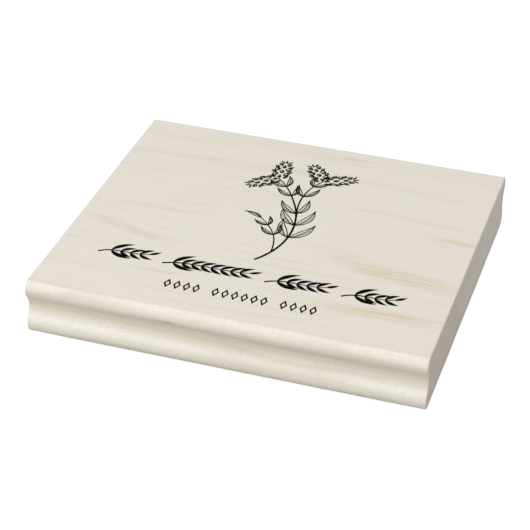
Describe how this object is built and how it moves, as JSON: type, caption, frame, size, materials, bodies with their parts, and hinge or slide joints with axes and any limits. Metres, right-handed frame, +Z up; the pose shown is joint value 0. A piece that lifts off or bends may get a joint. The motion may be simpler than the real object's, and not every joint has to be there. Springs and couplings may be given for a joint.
{
  "type": "rubber stamp",
  "caption": "Wood-mounted rubber stamp: a finger-grooved maple block with a printed botanical index image, a foam cushion and an engraved rubber die beneath.",
  "frame": {"origin": "middle of the printing face, which is the lowest face and rests on the table", "axes": "+X along the block's milled edges, +Y across the block from the foot to the head of the image, +Z up from the printing face to the index print"},
  "size_m": [0.127, 0.1142, 0.0232],
  "materials": {
    "maple": "sanded, unvarnished",
    "ink": "flat black printing ink",
    "adhesive_film": "clear amber double-sided film",
    "foam": "fine closed-cell foam, matt",
    "die_rubber": "vulcanised rubber, matt"
  },
  "bodies": {
    "block": {"wood_block": "maple", "index_sprig": "ink", "index_laurel": "ink", "index_lozenge_row": "ink", "block_adhesive": "adhesive_film", "foam_cushion": "foam"},
    "die": {"die_adhesive": "adhesive_film", "rubber_die": "die_rubber"}
  },
  "joints": [
    {"name": "cushion_press", "type": "slide", "parent": "block", "child": "die", "axis": [0, 0, 1], "range_m": [0, 0.0006], "stiffness_N_per_m": 50000, "deforming": ["foam_cushion"]}
  ]
}
